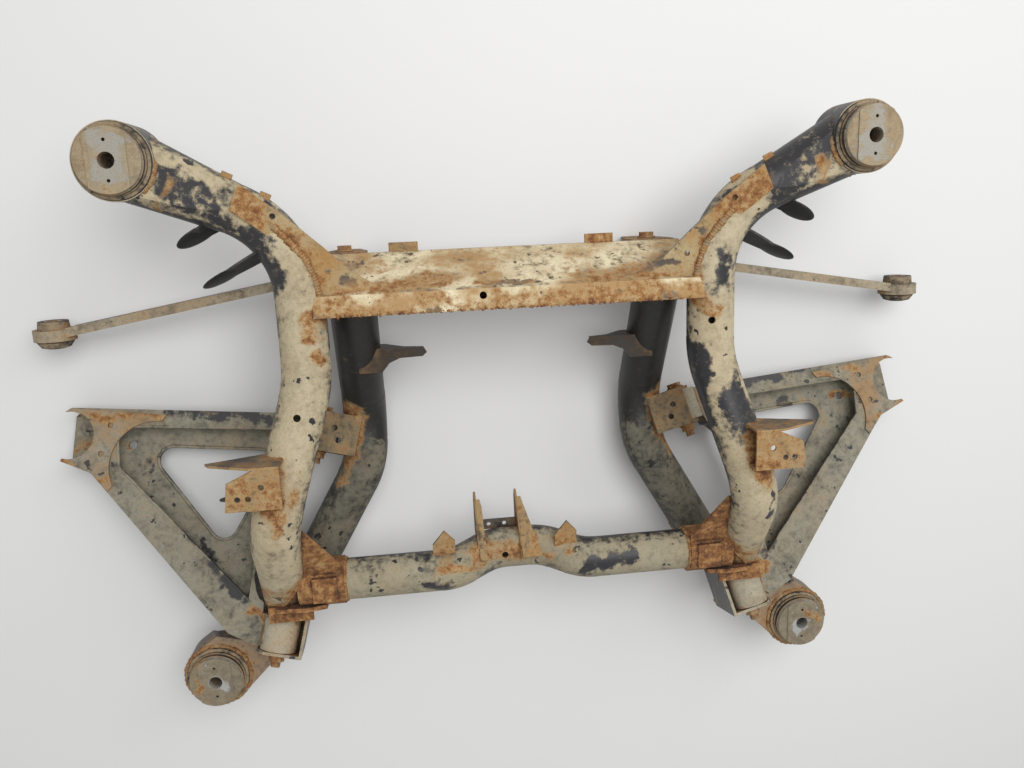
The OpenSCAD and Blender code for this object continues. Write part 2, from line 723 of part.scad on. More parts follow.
module left_main_tube() color("tan") difference() {
    left() main_tube();
    drain([-main_x - 12, knee_y - 36, main_z]);
}
module right_main_tube() color("tan") difference() {
    main_tube();
    drain([main_x - 8, knee_y + 52, main_z]);
}
module left_arch_tube() color("darkolivegreen") left() arch_tube();
module right_arch_tube() color("darkolivegreen") arch_tube();
module left_gusset() color("peru") left() gusset();
module right_gusset() color("peru") gusset();
module left_front_sleeve() color("dimgray") left() translate(front_mount) mount_sleeve(front_sleeve_len);
module right_front_sleeve() color("dimgray") translate(front_mount) mount_sleeve(front_sleeve_len);
module left_rear_sleeve() color("dimgray") left() translate(rear_mount) mount_sleeve(rear_sleeve_len);
module right_rear_sleeve() color("dimgray") translate(rear_mount) mount_sleeve(rear_sleeve_len);
module left_front_rubber() color("black") left() translate(front_mount) mount_rubber(front_sleeve_len);
module right_front_rubber() color("black") translate(front_mount) mount_rubber(front_sleeve_len);
module left_rear_rubber() color("black") left() translate(rear_mount) mount_rubber(rear_sleeve_len);
module right_rear_rubber() color("black") translate(rear_mount) mount_rubber(rear_sleeve_len);
module left_front_core() color("silver") left() translate(front_mount) mount_core(front_sleeve_len);
module right_front_core() color("silver") translate(front_mount) mount_core(front_sleeve_len);
module left_rear_core() color("silver") left() translate(rear_mount) mount_core(rear_sleeve_len);
module right_rear_core() color("silver") translate(rear_mount) mount_core(rear_sleeve_len);
module left_node_shell() color("peru") left() node_shell();
module right_node_shell() color("peru") node_shell();
module left_mount_arm() color("rosybrown") left() mount_arm();
module right_mount_arm() color("rosybrown") mount_arm();
module left_arm_rear_bracket() color("khaki") left() arm_rear_bracket();
module right_arm_rear_bracket() color("khaki") arm_rear_bracket();
module left_arm_front_bracket() color("sienna") left() arm_front_bracket();
module right_arm_front_bracket() color("sienna") arm_front_bracket();
module left_link_bracket() color("sienna") left() link_bracket();
module right_link_bracket() color("sienna") link_bracket();
module left_side_bracket() color("peru") left() side_bracket();
module right_side_bracket() color("peru") side_bracket();
module left_leaves() color("dimgray") left() leaves();
module right_leaves() color("dimgray") leaves();

// Nodes of the arms and links

module left_arm() color("gray") left() arm_frame() arm_pressing();
module right_arm() color("gray") arm_frame() arm_pressing();
module left_arm_end_plate() color("tan") left() arm_frame() arm_end_plate();
module right_arm_end_plate() color("tan") arm_frame() arm_end_plate();
module left_arm_sleeves() color("tan") left() arm_frame() arm_sleeves();
module right_arm_sleeves() color("tan") arm_frame() arm_sleeves();
module left_arm_rubbers() color("black") left() arm_frame() arm_rubbers();
module right_arm_rubbers() color("black") arm_frame() arm_rubbers();
module left_link() color("darkkhaki") left() link_strap();
module right_link() color("darkkhaki") link_strap();
module left_link_eyes() color("darkkhaki") left() link_eyes();
module right_link_eyes() color("darkkhaki") link_eyes();
module left_link_rubbers() color("black") left() link_rubbers();
module right_link_rubbers() color("black") link_rubbers();
module left_link_core() color("silver") left() link_core();
module right_link_core() color("silver") link_core();

left_main_tube();
right_main_tube();
left_arch_tube();
right_arch_tube();
front_crossmember();
rear_crossmember();
left_gusset();
right_gusset();
left_front_sleeve();
right_front_sleeve();
left_rear_sleeve();
right_rear_sleeve();
left_front_rubber();
right_front_rubber();
left_rear_rubber();
right_rear_rubber();
left_front_core();
right_front_core();
left_rear_core();
right_rear_core();
left_node_shell();
right_node_shell();
left_mount_arm();
right_mount_arm();
left_arm_rear_bracket();
right_arm_rear_bracket();
left_arm_front_bracket();
right_arm_front_bracket();
left_link_bracket();
right_link_bracket();
left_side_bracket();
right_side_bracket();
left_leaves();
right_leaves();
arch_tabs();
front_tabs();
rear_tabs();
differential_ears();
differential_bar();
arm_bolts();
arm_spacers();
link_bolts();
link_spacers();
left_arm();
right_arm();
left_arm_end_plate();
right_arm_end_plate();
left_arm_sleeves();
right_arm_sleeves();
left_arm_rubbers();
right_arm_rubbers();
left_link();
right_link();
left_link_eyes();
right_link_eyes();
left_link_rubbers();
right_link_rubbers();
left_link_core();
right_link_core();
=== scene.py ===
# %% [markdown]
# # Weathered rear subframe
#
# A welded tube frame lies on its back, with two pressed lower arms and two toe links still
# bolted on. The solids come from the CAD model. This lesson adds what a camera sees on top of
# them: weld beads, old paint, dust and rust, then a floor, soft light and a camera.

# %% Load the CAD frame
import json
import math

import bmesh
import bpy
from mathutils import Matrix, Vector
from mathutils.bvhtree import BVHTree


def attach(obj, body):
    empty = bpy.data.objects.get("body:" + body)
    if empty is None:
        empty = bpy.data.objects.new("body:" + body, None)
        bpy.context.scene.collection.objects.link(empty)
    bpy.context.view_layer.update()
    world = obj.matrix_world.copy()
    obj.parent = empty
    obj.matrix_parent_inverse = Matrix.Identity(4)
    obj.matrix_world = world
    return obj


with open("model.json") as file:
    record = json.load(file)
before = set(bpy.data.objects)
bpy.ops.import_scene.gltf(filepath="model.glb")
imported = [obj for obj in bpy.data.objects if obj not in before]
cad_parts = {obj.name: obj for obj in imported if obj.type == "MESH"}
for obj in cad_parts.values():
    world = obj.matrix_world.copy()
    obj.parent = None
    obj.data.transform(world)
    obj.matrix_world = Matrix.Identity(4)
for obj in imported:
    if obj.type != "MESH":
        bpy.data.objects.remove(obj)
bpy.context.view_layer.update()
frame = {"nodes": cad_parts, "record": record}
nodes = frame["nodes"]

MM = 0.001


def mm(*xyz):
    """A point given in millimetres, as the frame is drawn."""
    return Vector(xyz) * MM


# %% [markdown]
# ## Camera
# The photograph was taken from a little more than a metre in front of the frame, slightly above
# and left of its middle. Three directions fix the camera's turn: right, up, and back towards the
# viewer. A matrix with these as columns is simpler to read than three Euler angles.

# %% Camera
PHOTO_WIDTH = 1024
FOCAL_PIXELS = 829.9
SENSOR = 36.0
CAMERA_PLACE = mm(-122.2, 284.7, 1227.8)
camera_data = bpy.data.cameras.new("photo_camera")
camera_data.sensor_fit = "HORIZONTAL"
camera_data.sensor_width = SENSOR
camera_data.lens = FOCAL_PIXELS / PHOTO_WIDTH * SENSOR
camera = bpy.data.objects.new("photo_camera", camera_data)
bpy.context.scene.collection.objects.link(camera)
look = Vector((0.112, -0.210, -0.971)).normalized()
right = Vector((0.9915, -0.0403, 0.1231))
right = (right - look * right.dot(look)).normalized()
turn = Matrix((right, right.cross(look), -look))
camera.matrix_world = Matrix.Translation(CAMERA_PLACE) @ turn.transposed().to_4x4()
bpy.context.scene.camera = camera
print("camera lens in mm:", round(camera_data.lens, 2))

# %% [markdown]
# ## Shader maths as expressions
# A weathered finish is a sum of many masks. Writing each Math node by hand hides the idea, so a
# small class wraps one output socket. Adding, subtracting or multiplying two of them adds the
# node. One method makes any other node.


# %% A socket that understands arithmetic
class Wire:
    """One output socket of a shader tree."""

    def __init__(self, tree, socket=None):
        self.tree = tree
        self.socket = socket

    def node(self, kind, settings=None, inputs=None, out=0):
        made = self.tree.nodes.new("ShaderNode" + kind)
        for name, value in (settings or {}).items():
            if name == "stops":
                ramp = made.color_ramp
                while len(ramp.elements) < len(value):
                    ramp.elements.new(1.0)
                for element, (place, colour) in zip(ramp.elements, value):
                    element.position = place
                    element.color = (*colour, 1.0)
            else:
                setattr(made, name, value)
        for name, value in (inputs or {}).items():
            if isinstance(value, Wire):
                self.tree.links.new(value.socket, made.inputs[name])
            else:
                made.inputs[name].default_value = value
        return Wire(self.tree, made.outputs[out]) if made.outputs else None

    def math(self, operation, first, second):
        return self.node("Math", {"operation": operation}, {0: first, 1: second})

    def __add__(self, other):
        return self.math("ADD", self, other)

    __radd__ = __add__

    def __sub__(self, other):
        return self.math("SUBTRACT", self, other)

    def __rsub__(self, other):
        return self.math("SUBTRACT", other, self)

    def __mul__(self, other):
        return self.math("MULTIPLY", self, other)

    __rmul__ = __mul__

    def over(self, other):
        return self.math("MAXIMUM", self, other)

    def vector(self, operation, other, out=0):
        """Vector maths with this socket first."""
        return self.node("VectorMath", {"operation": operation}, {0: self, 1: other}, out)

    def step(self, low, high):
        """Smooth rise from 0 at low to 1 at high."""
        return self.node(
            "MapRange",
            {"interpolation_type": "SMOOTHSTEP"},
            {"Value": self, "From Min": low, "From Max": high},
        )


def noise(place, scale, detail=5.0, rough=0.6, bend=0.0):
    return place.node(
        "TexNoise",
        {},
        {"Vector": place, "Scale": scale, "Detail": detail, "Roughness": rough, "Distortion": bend},
    )


def blend(mask, low, high):
    """Colour that goes from low to high with the mask."""
    return mask.node("Mix", {"data_type": "RGBA"}, {0: mask, 6: low, 7: high}, out=2)


STROKE_CORE = 0.3
STROKE_FADE = 1.25


def near(place, strokes):
    """1 along a list of strokes: two ends and a radius in millimetres, fading outwards."""
    found = None
    for start, end, radius in strokes:
        way = mm(*end) - mm(*start)
        away = place.vector("SUBTRACT", mm(*start))
        if way.length > 0:
            share = away.vector("DOT_PRODUCT", way / way.length_squared, "Value")
            share = share.node("Clamp", {}, {"Value": share})
            foot = share.node("VectorMath", {"operation": "SCALE"}, {0: way, "Scale": share})
            away = away.vector("SUBTRACT", foot)
        gap = away.node("VectorMath", {"operation": "LENGTH"}, {0: away}, "Value")
        inside = 1.0 - gap.step(radius * STROKE_CORE * MM, radius * STROKE_FADE * MM)
        found = inside if found is None else found.over(inside)
    return found


print("Wire operators ready")

# %% [markdown]
# ## Weathered finishes
# Every steel piece has the same history: black paint, a pale crust of dried road dust on the side
# that faces up, and rust that starts at welds, edges and chips. So one function builds them all,
# and the numbers say how far each piece has gone. Dust follows the surface's own normal. Rust
# follows noise, crevices and brush strokes laid where the real frame shows it. The strokes are
# measured from a position that noise has pushed about, so their edges come out ragged. Rusty water
# also runs over the dust and dries there, so a soft ochre wash tints the dust round each stroke.
#
# Rust is not one colour. A thin stain is tan, a thicker one ochre, old scale dark brown. So the
# amount of rust also picks its colour from a ramp, instead of a second unrelated noise.
# Last, ambient occlusion darkens the deepest hollows and bores towards black, which is painted
# shade.

# %% One finish for all steel
DUST = (0.52, 0.445, 0.30)
DUST_DARK = (0.365, 0.305, 0.20)
BLACK = (0.022, 0.022, 0.025)
# Near black for painted shade in deep hollows and bores
PAINTED_SHADE = (0.016, 0.013, 0.011)
OCHRE = (0.37, 0.20, 0.066)
RUST_STOPS = [
    (0.0, (0.47, 0.36, 0.21)),
    (0.20, (0.41, 0.25, 0.105)),
    (0.42, (0.29, 0.135, 0.048)),
    (0.68, (0.135, 0.060, 0.028)),
    (1.0, (0.045, 0.025, 0.017)),
]
SPECK = (0.06, 0.042, 0.03)
BROAD_SCALE = 7.0
WASH_SCALE = 15.0
PATCH_SCALE = 26.0
CHIP_SCALE = 70.0
FINE_SCALE = 120.0
GRIT_SCALE = 620.0
PUSHES = ((18.0, 60 * MM), (75.0, 16 * MM))
CREVICE_REACH = 22 * MM
RELIEF = 1.4 * MM
RELIEF_STRENGTH = 0.55
SPECULAR = 0.35
finishes = {}


def rgba(colour):
    return (*colour, 1.0)


def shifted(place):
    """The position, pushed about by two sizes of noise."""
    for scale, reach in PUSHES:
        push = place.node("TexNoise", {}, {"Vector": place, "Scale": scale, "Detail": 3.0}, "Color")
        push = push.vector("SUBTRACT", (0.5, 0.5, 0.5))
        push = push.node("VectorMath", {"operation": "SCALE"}, {0: push, "Scale": reach})
        place = place.vector("ADD", push)
    return place


def weathered_and_shaded(
    name, paint, dust, dust_dark, dust_from, rust_from, crevice=0.3, rust=None, bare_and_shade=None,
    shine=0.42, wash=0.1,
):
    """Paint under dust and rust, with painted shade in deep hollows; a higher dust_from or
    rust_from leaves less of either.
    """
    material = bpy.data.materials.new(name)
    material.use_nodes = True
    tree = material.node_tree
    tree.nodes.clear()
    start = Wire(tree)
    place = start.node("TexCoord", out="Object")
    normal = start.node("TexCoord", out="Normal")
    up = start.node("SeparateXYZ", {}, {0: normal}, out="Z")
    ragged = shifted(place)
    broad = noise(place, BROAD_SCALE, 4.0, 0.55)
    patch = noise(place, PATCH_SCALE, 6.0, 0.62, 0.4)
    fine = noise(place, FINE_SCALE, 5.0, 0.65)
    grit = noise(place, GRIT_SCALE, 3.0, 0.6)
    shade = start.node("AmbientOcclusion", {"samples": 6}, {"Distance": CREVICE_REACH}, out="AO")

    # Dust gathers on faces that look up, and noise and chips break it open
    dusty = up * 0.55 + (patch - 0.5) * 1.3 + (fine - 0.5) * 1.2
    dusty = dusty + (broad - 0.5) * 0.5 + (grit - 0.5) * 0.4
    dusty = dusty - noise(place, CHIP_SCALE, 2.0, 0.5).step(0.66, 0.72) * 0.7
    # Bare strokes uncover the paint; on the arch tubes the broad ones are painted shadow
    if bare_and_shade:
        dusty = dusty - near(ragged, bare_and_shade) * 0.72
    dusty = dusty.step(dust_from - 0.12, dust_from + 0.34)

    # Rust grows in crevices and along its strokes, and its age picks the colour
    rusty = broad * 0.35 + patch * 0.5 + fine * 0.25 + (1.0 - shade) * crevice
    soft = noise(place, WASH_SCALE, 4.0, 0.55)
    if rust:
        stroke = near(ragged, rust)
        rusty = rusty + stroke * (0.26 - 0.09 * wash)
        soft = soft + stroke * 0.20
    age = (rusty - rust_from) * 2.4
    stain = (age + (grit - 0.5) * 0.3).step(-0.14, 0.40)
    tone = age * 0.55 + (fine - 0.5) * 1.4 + (grit - 0.5) * 0.5 + 0.14

    # Colours are laid from the paint outwards: film, dust, rust, specks, then painted shade in deep
    # crevices
    rust_colour = start.node("ValToRGB", {"stops": RUST_STOPS}, {"Fac": tone})
    dust_colour = blend((patch * 0.5 + fine * 0.5).step(0.36, 0.60), rgba(dust_dark), rgba(dust))
    soft = soft + (fine - 0.5) * 0.35 + (grit - 0.5) * 0.10
    dust_colour = blend(soft.step(0.40, 0.68) * wash, dust_colour, rgba(OCHRE))
    film = blend(fine.step(0.5, 0.8) * 0.30, rgba(paint), rgba(dust_dark))
    colour = blend(dusty, film, dust_colour)
    colour = blend(stain, colour, rust_colour)
    speck = grit.step(0.58, 0.68) * 0.5
    colour = blend(speck, colour, rgba(SPECK))
    # Painted shade: where ambient occlusion finds a deep hollow or bore, the colour goes towards
    # near black
    painted_shade = (1.0 - shade).step(0.60, 0.95) * 0.85
    colour = blend(painted_shade, colour, rgba(PAINTED_SHADE))

    # Dust and rust are dull and a little raised
    dull = dusty.over(stain)
    rough = dull * (0.9 - shine) + shine + (fine - 0.5) * 0.12
    height = stain * (fine * 0.8 + grit * 0.5) + dusty * (grit * 0.25 + fine * 0.25)
    bump = start.node(
        "Bump", {}, {"Height": height, "Strength": RELIEF_STRENGTH, "Distance": RELIEF}
    )
    shader = start.node(
        "BsdfPrincipled",
        {},
        {"Base Color": colour, "Roughness": rough, "Normal": bump, "Specular IOR Level": SPECULAR},
    )
    start.node("OutputMaterial", {}, {"Surface": shader})
    finishes[name] = material


SIDES = {1: "right", -1: "left"}


def pair(start, end, radius):
    """The same stroke on both sides of the frame."""
    return [((side * start[0], *start[1:]), (side * end[0], *end[1:]), radius) for side in SIDES]


print("finish function ready")

# %% [markdown]
# ## Where the paint went and where the rust sits
# The main tubes are cream with dust on top, but paint still shows black on the horns, beside the
# lip of the crossmember and round the crest. The strokes below name these places. A stroke is
# cheaper than a painted texture and it stays sharp at any distance.

# %% Finishes
tube_bare = (
    pair((420, 310, 205), (300, 250, 195), 30)
    + [((395, 335, 238), (330, 300, 236), 34), ((410, 355, 225), (330, 318, 225), 26)]
    + [((-395, 330, 238), (-350, 300, 236), 20), ((-345, 305, 238), (-325, 280, 238), 20)]
    + [((-300, 262, 225), (-282, 215, 222), 24), ((260, 208, 231), (254, 176, 231), 13)]
    + [((236, 95, 212), (250, 20, 222), 18), ((276, 30, 246), (312, -38, 262), 30)]
    + [((322, -100, 262), (326, -112, 258), 12), ((-284, 56, 222), (-280, 44, 226), 5)]
    + pair((276, 284, 232), (276, 284, 222), 14)
)
rear_bare = [((70, -205, 190), (150, -190, 190), 14), ((-90, -215, 170), (-130, -205, 185), 14)]
tube_rust = (
    pair((298, -16, 262), (308, -76, 266), 20)
    + pair((230, 160, 222), (252, 150, 229), 15)
    + pair((300, -196, 190), (345, -200, 180), 26)
    + pair((226, 176, 222), (228, 210, 200), 16)
    + pair((384, 322, 236), (398, 300, 230), 9)
    + [((-240, 122, 224), (-234, 114, 220), 13), ((-268, -18, 252), (-300, -90, 262), 12)]
)
rear_rust = [((-54, -180, 168), (4, -180, 168), 22), ((-110, -185, 185), (70, -185, 185), 10)]
weathered_and_shaded(
    "tube_finish", BLACK, DUST, DUST_DARK,
    dust_from=-0.02, rust_from=0.665, crevice=0.30, rust=tube_rust, bare_and_shade=tube_bare,
)

arch_rust = pair((216, 14, 84), (226, -50, 88), 22) + pair((226, -50, 80), (236, -92, 84), 14)
# The first pair of arch strokes is painted shadow: it keeps the upper arch tubes black where they
# lie in shade. The arch paint and dust are darker than the main tubes', partly as painted shade.
arch_bare_and_shadow = pair((198, 170, 165), (200, 20, 80), 62) + pair((184, 40, 80), (184, -20, 70), 22)
weathered_and_shaded(
    "arch_finish_and_shade", (0.016, 0.016, 0.014), (0.17, 0.16, 0.12), (0.085, 0.08, 0.064),
    dust_from=0.12, rust_from=0.70, crevice=0.25, rust=arch_rust, bare_and_shade=arch_bare_and_shadow,
)
weathered_and_shaded(
    "rear_finish", BLACK, (0.36, 0.325, 0.23), (0.255, 0.225, 0.155),
    dust_from=0.06, rust_from=0.65, crevice=0.32, rust=rear_rust, bare_and_shade=rear_bare,
)

box_rust = [
    ((-240, 170, 226), (240, 170, 226), 18), ((-240, 162, 230), (240, 162, 230), 7),
    ((-150, 192, 205), (-90, 196, 196), 24), ((100, 196, 196), (200, 196, 196), 30),
    ((-40, 190, 205), (20, 186, 210), 10),
]
box_bare = [((-30, 186, 208), (14, 186, 208), 9), ((90, 196, 198), (180, 192, 206), 8)]
box_bare += pair((219, 218, 214), (219, 218, 200), 16) + [((-240, 159, 231), (240, 159, 231), 8)]
weathered_and_shaded(
    "box_finish", (0.10, 0.065, 0.04), (0.80, 0.71, 0.50), (0.58, 0.48, 0.29),
    dust_from=-0.08, rust_from=0.64, crevice=0.30, rust=box_rust, bare_and_shade=box_bare, wash=0.85,
)

sheet_bare = pair((262, 268, 236), (246, 236, 228), 8) + pair((205, 206, 220), (180, 198, 214), 9)
sheet_rust = pair((240, 200, 228), (262, 262, 236), 16) + pair((262, 262, 236), (310, 300, 242), 16)
weathered_and_shaded(
    "sheet_finish", (0.07, 0.055, 0.042), (0.47, 0.385, 0.22), (0.31, 0.21, 0.10),
    dust_from=0.0, rust_from=0.55, crevice=0.32, rust=sheet_rust, bare_and_shade=sheet_bare, wash=0.9,
)
weathered_and_shaded(
    "rust_finish", (0.05, 0.04, 0.035), (0.41, 0.31, 0.165), (0.27, 0.165, 0.075),
    dust_from=0.10, rust_from=0.50, crevice=0.32, shine=0.6, wash=0.7,
)
weathered_and_shaded(
    "node_finish", (0.04, 0.03, 0.025), (0.23, 0.145, 0.062), (0.12, 0.068, 0.03),
    dust_from=0.12, rust_from=0.33, crevice=0.40, shine=0.6,
)
weathered_and_shaded(
    "bracket_finish", (0.04, 0.035, 0.03), (0.21, 0.165, 0.10), (0.10, 0.075, 0.048),
    dust_from=0.08, rust_from=0.565, crevice=0.36,
)
weathered_and_shaded(
    "tab_finish", (0.022, 0.019, 0.016), (0.075, 0.055, 0.038), (0.04, 0.03, 0.022),
    dust_from=0.25, rust_from=0.62, crevice=0.30,
)
weathered_and_shaded(
    "rosy_finish", (0.10, 0.07, 0.055), (0.36, 0.27, 0.19), (0.21, 0.145, 0.10),
    dust_from=0.0, rust_from=0.57, crevice=0.34,
)
weathered_and_shaded(
    "wall_finish", BLACK, (0.40, 0.37, 0.28), (0.24, 0.21, 0.15),
    dust_from=0.10, rust_from=0.61, crevice=0.34,
)
weathered_and_shaded(
    "black_finish", (0.018, 0.018, 0.019), (0.085, 0.08, 0.07), (0.05, 0.047, 0.042),
    dust_from=0.40, rust_from=0.73, crevice=0.22,
)

arm_bare = (
    pair((300, 8, 61), (466, 27, 47), 14)
    + pair((440, -40, 20), (520, -60, 20), 20)
    + pair((370, -232, 130), (440, -150, 95), 16)
    + pair((590, -100, 50), (560, -140, 60), 18)
)
arm_rust = pair((600, -30, 30), (520, -20, 34), 10) + pair((330, -250, 160), (360, -240, 150), 14)
weathered_and_shaded(
    "arm_finish", (0.030, 0.030, 0.030), (0.30, 0.28, 0.215), (0.16, 0.149, 0.113),
    dust_from=0.04, rust_from=0.645, crevice=0.28, rust=arm_rust, bare_and_shade=arm_bare,
)
end_rust = pair((475, 15, 54), (600, 31, 43), 9) + pair((560, -68, 79), (620, -28, 63), 10)
weathered_and_shaded(
    "end_finish", (0.05, 0.045, 0.04), (0.34, 0.305, 0.235), (0.20, 0.17, 0.12),
    dust_from=0.0, rust_from=0.625, crevice=0.34, rust=end_rust, wash=0.6,
)
weathered_and_shaded(
    "sleeve_finish", (0.06, 0.05, 0.04), (0.44, 0.41, 0.32), (0.29, 0.26, 0.19),
    dust_from=-0.1, rust_from=0.64, crevice=0.16, wash=0.25,
)
weathered_and_shaded(
    "link_finish", (0.09, 0.08, 0.065), (0.42, 0.36, 0.26), (0.20, 0.16, 0.11),
    dust_from=0.0, rust_from=0.585, crevice=0.30,
)

alloy_bare = pair((440, 372, 258), (440, 328, 258), 22)
weathered_and_shaded(
    "alloy_finish", (0.33, 0.31, 0.265), (0.37, 0.305, 0.205), (0.25, 0.19, 0.115),
    dust_from=-0.1, rust_from=0.60, crevice=0.12, bare_and_shade=alloy_bare, shine=0.6,
)
disc_bare = pair((430, -350, 136), (424, -356, 136), 17)
disc_rust = [((-462, -366, 136), (-456, -340, 136), 9), ((446, -330, 136), (462, -344, 136), 12)]
weathered_and_shaded(
    "dull_finish", (0.38, 0.38, 0.36), (0.27, 0.235, 0.17), (0.18, 0.145, 0.095),
    dust_from=-0.1, rust_from=0.62, crevice=0.12, rust=disc_rust, bare_and_shade=disc_bare, shine=0.6,
)
weathered_and_shaded(
    "bush_finish", (0.028, 0.026, 0.024), (0.33, 0.26, 0.17), (0.17, 0.13, 0.085),
    dust_from=0.18, rust_from=0.66, crevice=0.30, shine=0.7,
)
weathered_and_shaded(
    "bolt_finish", (0.13, 0.11, 0.09), (0.30, 0.24, 0.17), (0.20, 0.15, 0.10),
    dust_from=0.15, rust_from=0.50, crevice=0.40, shine=0.4,
)
weathered_and_shaded(
    "weld_finish", (0.07, 0.05, 0.04), (0.46, 0.35, 0.21), (0.30, 0.19, 0.10),
    dust_from=0.25, rust_from=0.46, crevice=0.3, shine=0.5,
)
print("finishes:", sorted(finishes))

# %% [markdown]
# ## Finishes on the CAD pieces
# The record already groups the nodes into material slots, so a table from slot to finish dresses
# most of them. A second table names the pieces that weathered in their own way. The CAD meshes
# stay as they are, only their material changes.

# %% Dress the CAD nodes
SLOT_FINISH = {
    "frame_paint": "tube_finish", "arch_paint": "arch_finish_and_shade", "rusted_steel": "rust_finish",
    "arm_paint": "arm_finish", "link_paint": "link_finish", "mount_alloy": "alloy_finish",
    "bush_rubber": "bush_finish", "bolt_steel": "bolt_finish",
}
PIECE_FINISH = {
    "front_crossmember": "box_finish", "gusset": "sheet_finish", "leaves": "black_finish",
    "differential_bar": "black_finish", "mount_arm": "rosy_finish", "rear_sleeve": "rosy_finish",
    "arm_rear_bracket": "wall_finish", "arm_end_plate": "end_finish", "arch_tabs": "tab_finish",
    "arm_front_bracket": "bracket_finish", "arm_sleeves": "sleeve_finish",
    "rear_crossmember": "rear_finish", "node_shell": "node_finish", "rear_core": "dull_finish",
}
slot_of = {row["node"]: row["material_slot"] for row in frame["record"]["subparts"]}
for name, piece in nodes.items():
    plain = name.removeprefix("left_").removeprefix("right_")
    finish = PIECE_FINISH.get(plain, SLOT_FINISH[slot_of[name]])
    piece.data.materials.clear()
    piece.data.materials.append(finishes[finish])
print("dressed:", len(nodes))

# %% [markdown]
# ## Weld beads
# The frame is welded by hand and robot, and the ripples of the beads show along every seam. A
# seam is where two CAD pieces touch. Starting from rough points, each point is moved to the
# nearest place on one piece, then on the other, a few times over, which brings it to the seam.
# Overlapping flattened spheres along the seam give the ripples.

# %% Weld tools
RIPPLE_LENGTH = 0.72
RIPPLE_HEIGHT = 0.8
RIPPLE_PITCH = 0.62
surfaces = {}


def surface(node):
    if node not in surfaces:
        mesh = nodes[node].data
        points = [v.co.copy() for v in mesh.vertices]
        faces = [tuple(p.vertices) for p in mesh.polygons]
        surfaces[node] = BVHTree.FromPolygons(points, faces)
    return surfaces[node]


def seam(first, second, seeds, rounds=14):
    found = []
    for seed in seeds:
        point = Vector(seed)
        for _ in range(rounds):
            point = surface(first).find_nearest(point)[0]
            point = surface(second).find_nearest(point)[0]
        found.append(point)
    return found


def spaced(points, pitch, closed):
    """The same path with a point every pitch."""
    points = points + points[:1] if closed else points
    path = [points[0]]
    for here in points[1:]:
        while (here - path[-1]).length > pitch:
            path.append(path[-1] + (here - path[-1]).normalized() * pitch)
    return path


def ring(centre, axis, radius, count=40):
    axis = Vector(axis).normalized()
    side = axis.orthogonal().normalized()
    across = axis.cross(side)
    turns = [2 * math.pi * i / count for i in range(count)]
    return [Vector(centre) + (side * math.cos(a) + across * math.sin(a)) * radius for a in turns]


def finish_piece(name, bm, body, finish):
    mesh = bpy.data.meshes.new(name)
    bm.to_mesh(mesh)
    bm.free()
    mesh.shade_smooth()
    piece = bpy.data.objects.new(name, mesh)
    bpy.context.scene.collection.objects.link(piece)
    mesh.materials.append(finishes[finish])
    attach(piece, body)
    return piece


def drop(bm, place):
    """One small faceted ball, the unit of beads and flakes."""
    bmesh.ops.create_icosphere(bm, subdivisions=1, radius=1.0, matrix=place)


def weld(bm, path, size):
    """Ripples of one bead along a path."""
    for i, point in enumerate(path):
        after = path[min(i + 1, len(path) - 1)]
        before = path[max(i - 1, 0)]
        along = after - before
        if along.length < 1e-6:
            continue
        turn = along.to_track_quat("X", "Z").to_matrix().to_4x4()
        wave = 1.0 + 0.14 * math.sin(i * 2.1) + 0.10 * math.sin(i * 0.73)
        tall = size * RIPPLE_HEIGHT * wave
        shape = Matrix.Diagonal((size * RIPPLE_LENGTH, size * wave, tall, 1.0))
        drop(bm, Matrix.Translation(point) @ turn @ shape)


print("weld tools ready")

# %% [markdown]
# ## Seams of the frame
# The rough points only have to lie nearer to their own seam than to another one, so round numbers
# read off the CAD sizes are enough. A few drops of spatter lie beside each bead, as hand welding
# leaves them.

# %% Weld seams
BEAD = 4.0 * MM
HEAVY_BEAD = 5.5 * MM
SPATTER_EVERY = 9
SPATTER_REACH = 14 * MM
HORN = (183, 88, 7)
HORN_MOUNT = (440, 350, 208)


def spatter(bm, path, node):
    """Small drops that lie on one piece beside a bead."""
    for i in range(0, len(path), SPATTER_EVERY):
        away = Vector((math.sin(i * 1.7), math.cos(i * 2.3), math.sin(i * 0.9)))
        spot = surface(node).find_nearest(path[i] + away * SPATTER_REACH)[0]
        size = (0.9 + 0.5 * math.sin(i)) * MM
        bmesh.ops.create_icosphere(bm, subdivisions=1, radius=size, matrix=Matrix.Translation(spot))


def weld_seams(name, body, seams, size=BEAD):
    bm = bmesh.new()
    total = 0
    for first, second, seeds, closed in seams:
        path = spaced(seam(first, second, seeds), size * RIPPLE_PITCH, closed)
        total += len(path)
        weld(bm, path, size)
        spatter(bm, path, first)
    piece = finish_piece(name, bm, body, "weld_finish")
    print(piece.name, "ripples:", total, "faces:", len(piece.data.polygons))


def horn_way(side):
    """Direction from the bend of a main tube to its front mount."""
    return mm(side * HORN[0], *HORN[1:]).normalized()


